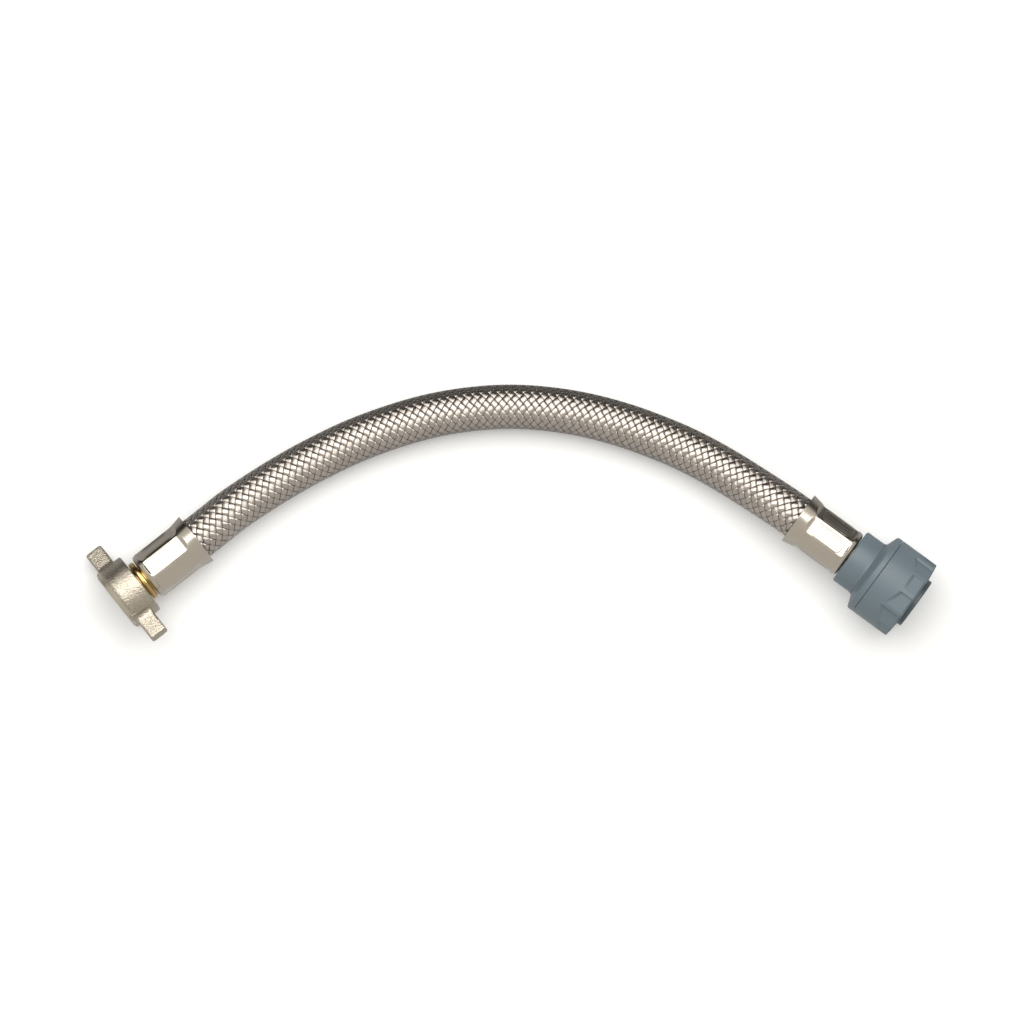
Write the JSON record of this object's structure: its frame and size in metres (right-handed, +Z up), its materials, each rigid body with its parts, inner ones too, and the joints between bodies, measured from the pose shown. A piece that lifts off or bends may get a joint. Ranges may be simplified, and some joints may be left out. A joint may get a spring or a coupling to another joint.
{
  "type": "braided supply line",
  "caption": "Flexible braided tap connector: rubber-lined steel braid hose with crimped ferrules, a swivelling wing nut at one end and a plastic push-fit pipe socket at the other.",
  "frame": {"origin": "on the surface the hose lies on, below the middle of the box that holds its two end fittings", "axes": "+X from the wing nut end to the push-fit end, +Y towards the crown of the hose's arch, +Z up from the surface"},
  "size_m": [0.2742, 0.0829, 0.0283],
  "materials": {
    "steel_braid": "woven stainless wire, satin",
    "ferrule_steel": "pressed stainless sheet, bright",
    "nickel_plate": "nickel-plated casting, fine sandy texture",
    "brass": "turned, bright",
    "liner_rubber": "extruded, matt",
    "seal_rubber": "moulded, satin",
    "washer_fibre": "pressed fibre, matt",
    "grey_plastic": "moulded, satin blue-grey",
    "collet_plastic": "moulded, satin dark grey",
    "spring_steel": "stamped spring strip"
  },
  "bodies": {
    "hose": {"hose_braid": "steel_braid", "hose_liner": "liner_rubber", "ferrule_nut_end": "ferrule_steel", "ferrule_fitting_end": "ferrule_steel", "nut_stem": "brass", "fitting_stem": "brass", "stem_seal": "seal_rubber", "stem_clip": "spring_steel", "fitting_body": "grey_plastic", "pipe_seal": "seal_rubber", "spacer_ring": "collet_plastic"},
    "washer": {"sealing_washer": "washer_fibre"},
    "nut": {"wing_nut": "nickel_plate"},
    "grab": {"grab_ring": "spring_steel"},
    "cap": {"screw_cap": "grey_plastic"},
    "collet": {"release_collet": "collet_plastic"}
  },
  "joints": [
    {"name": "nut_float", "type": "slide", "parent": "hose", "child": "washer", "axis": [-0.7841, -0.617, 0.0663], "range_m": [0, 0.0005]},
    {"name": "nut_spin", "type": "hinge", "parent": "washer", "child": "nut", "pos_m": [-0.12356, -0.00788, 0.01111], "axis": [-0.7841, -0.617, 0.0663], "continuous": true},
    {"name": "cap_travel", "type": "slide", "parent": "hose", "child": "grab", "axis": [0.8062, -0.59, 0.0436], "range_m": [0, 0.006]},
    {"name": "cap_turn", "type": "hinge", "parent": "grab", "child": "cap", "pos_m": [0.12313, -0.00622, 0.01436], "axis": [0.8062, -0.59, 0.0436], "range_deg": [0, 1080]},
    {"name": "collet_press", "type": "slide", "parent": "grab", "child": "collet", "axis": [-0.8062, 0.59, -0.0436], "range_m": [0, 0.001], "stiffness_N_per_m": 300}
  ],
  "couplings": [
    {"joint": "cap_turn", "follows": "cap_travel", "rad_per_m": 3141.6}
  ]
}
